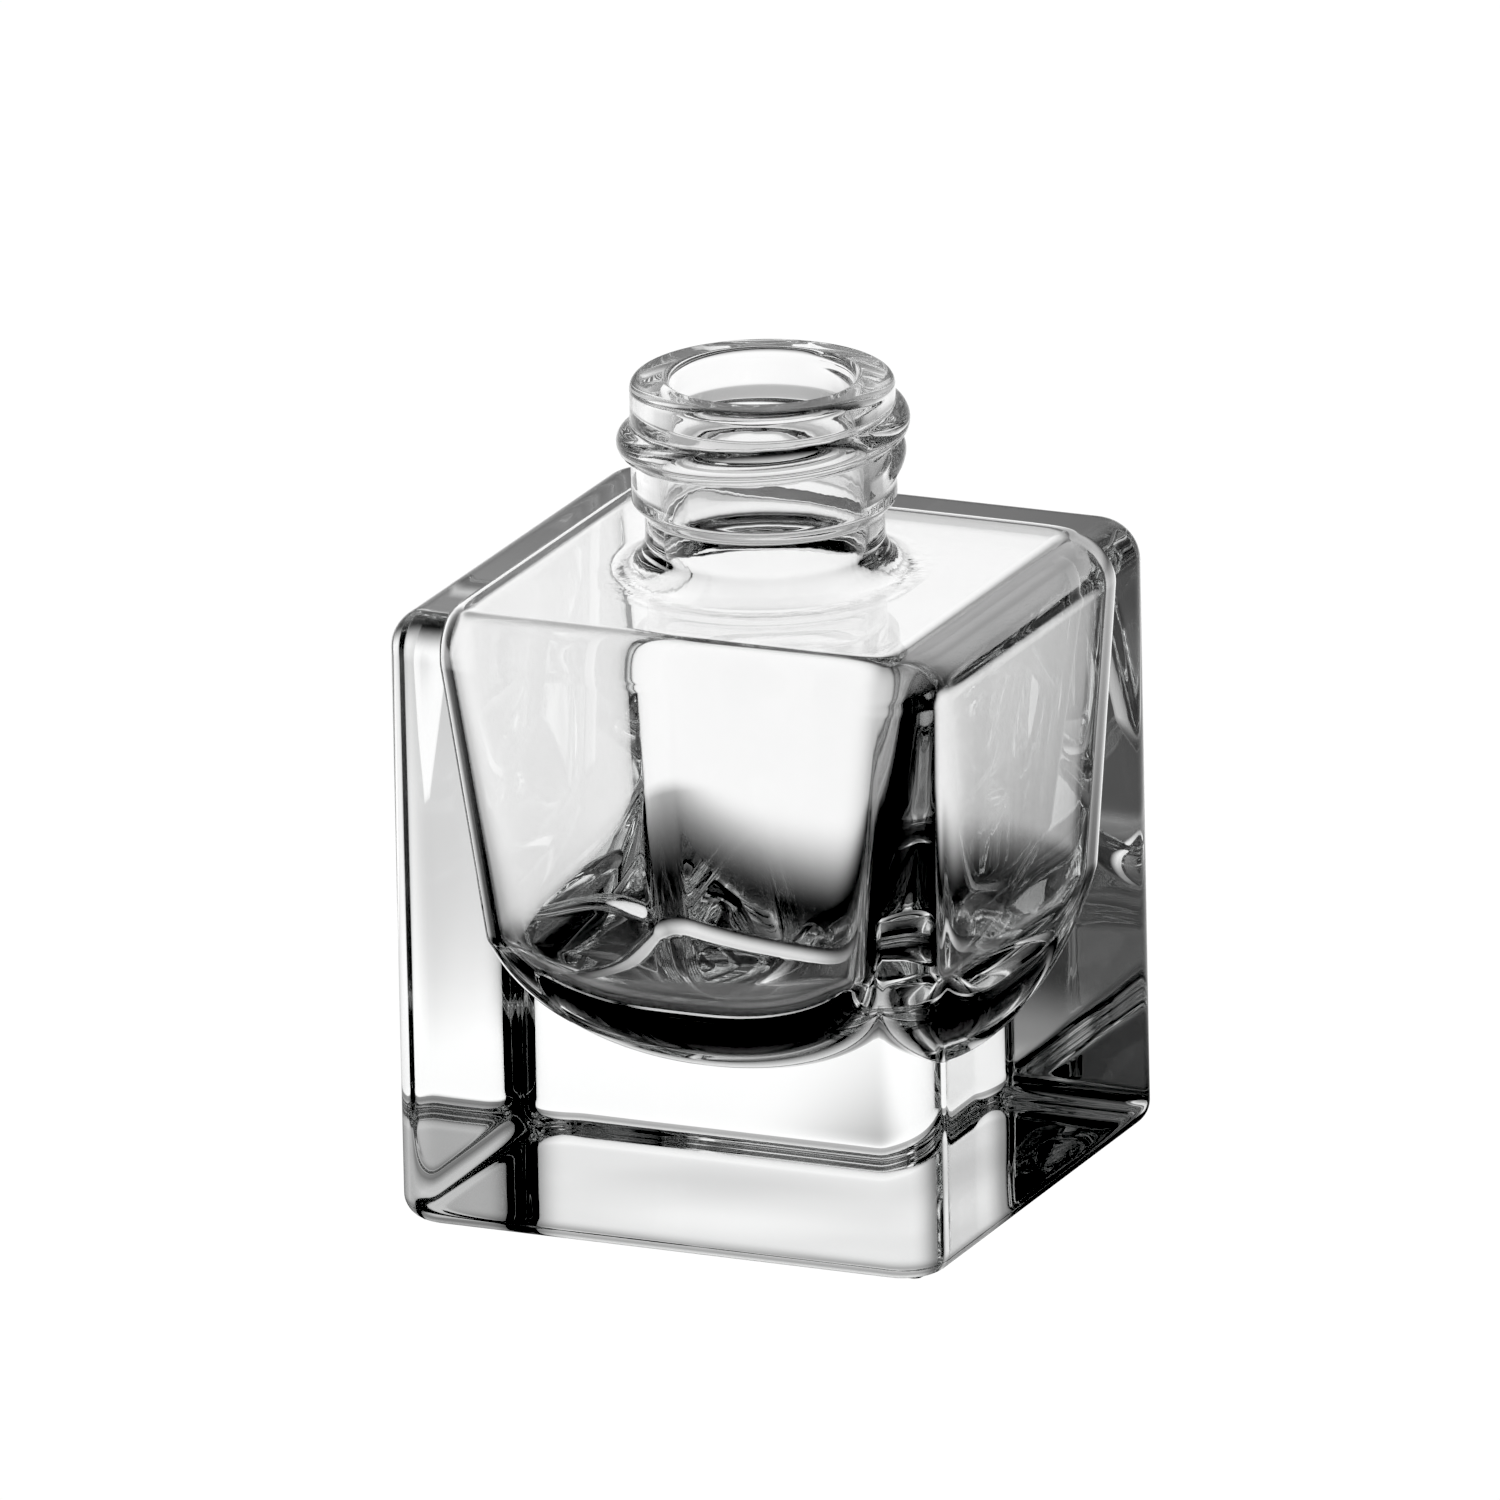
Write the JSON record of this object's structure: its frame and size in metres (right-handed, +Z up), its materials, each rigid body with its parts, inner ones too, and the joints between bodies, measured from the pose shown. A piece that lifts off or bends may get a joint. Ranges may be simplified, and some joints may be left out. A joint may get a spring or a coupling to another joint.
{
  "type": "aftershave bottle",
  "caption": "Square clear glass bottle with a thick base, flat shoulder and round screw-thread neck, open and without its cap.",
  "frame": {"origin": "on the bottle's axis, in the plane it stands on", "axes": "+Z up out of the mouth; X and Y square to the body's flat sides"},
  "size_m": [0.0482, 0.0482, 0.0677],
  "materials": {
    "clear_glass": "fire-polished clear flint glass"
  },
  "bodies": {
    "root": {"glass_bottle": "clear_glass"}
  },
  "joints": []
}
